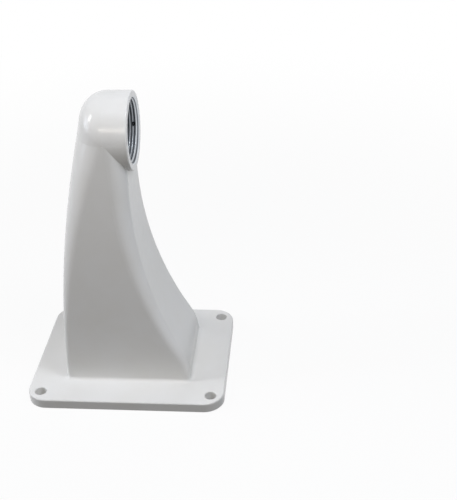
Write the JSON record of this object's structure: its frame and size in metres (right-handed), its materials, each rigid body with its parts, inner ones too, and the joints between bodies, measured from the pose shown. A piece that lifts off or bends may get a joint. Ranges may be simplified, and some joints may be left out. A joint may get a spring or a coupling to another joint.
{
  "type": "wall bracket",
  "caption": "Hollow cast wall bracket: a rectangular screw plate and a curved arm that ends in a threaded pipe socket, for hanging a dome camera.",
  "frame": {"origin": "centre of the wall plate's back face, which touches the wall and on which the bracket stands", "axes": "+Z away from the wall, out of the plate; +X the way the socket's mouth faces, which is down once the bracket is on a wall; Y across the arm, which is alike on both sides of the XZ plane apart from the lock screw on +Y"},
  "size_m": [0.157, 0.128, 0.2398],
  "materials": {
    "powder_coat": "off-white semi-gloss powder coat",
    "black_oxide_steel": "black oxide on a turned steel screw",
    "bare_thread": "bare thread cut in the casting, dulled and a little oxidised"
  },
  "bodies": {
    "root": {"bracket_casting": "powder_coat", "lock_screw": "black_oxide_steel"}
  },
  "joints": []
}
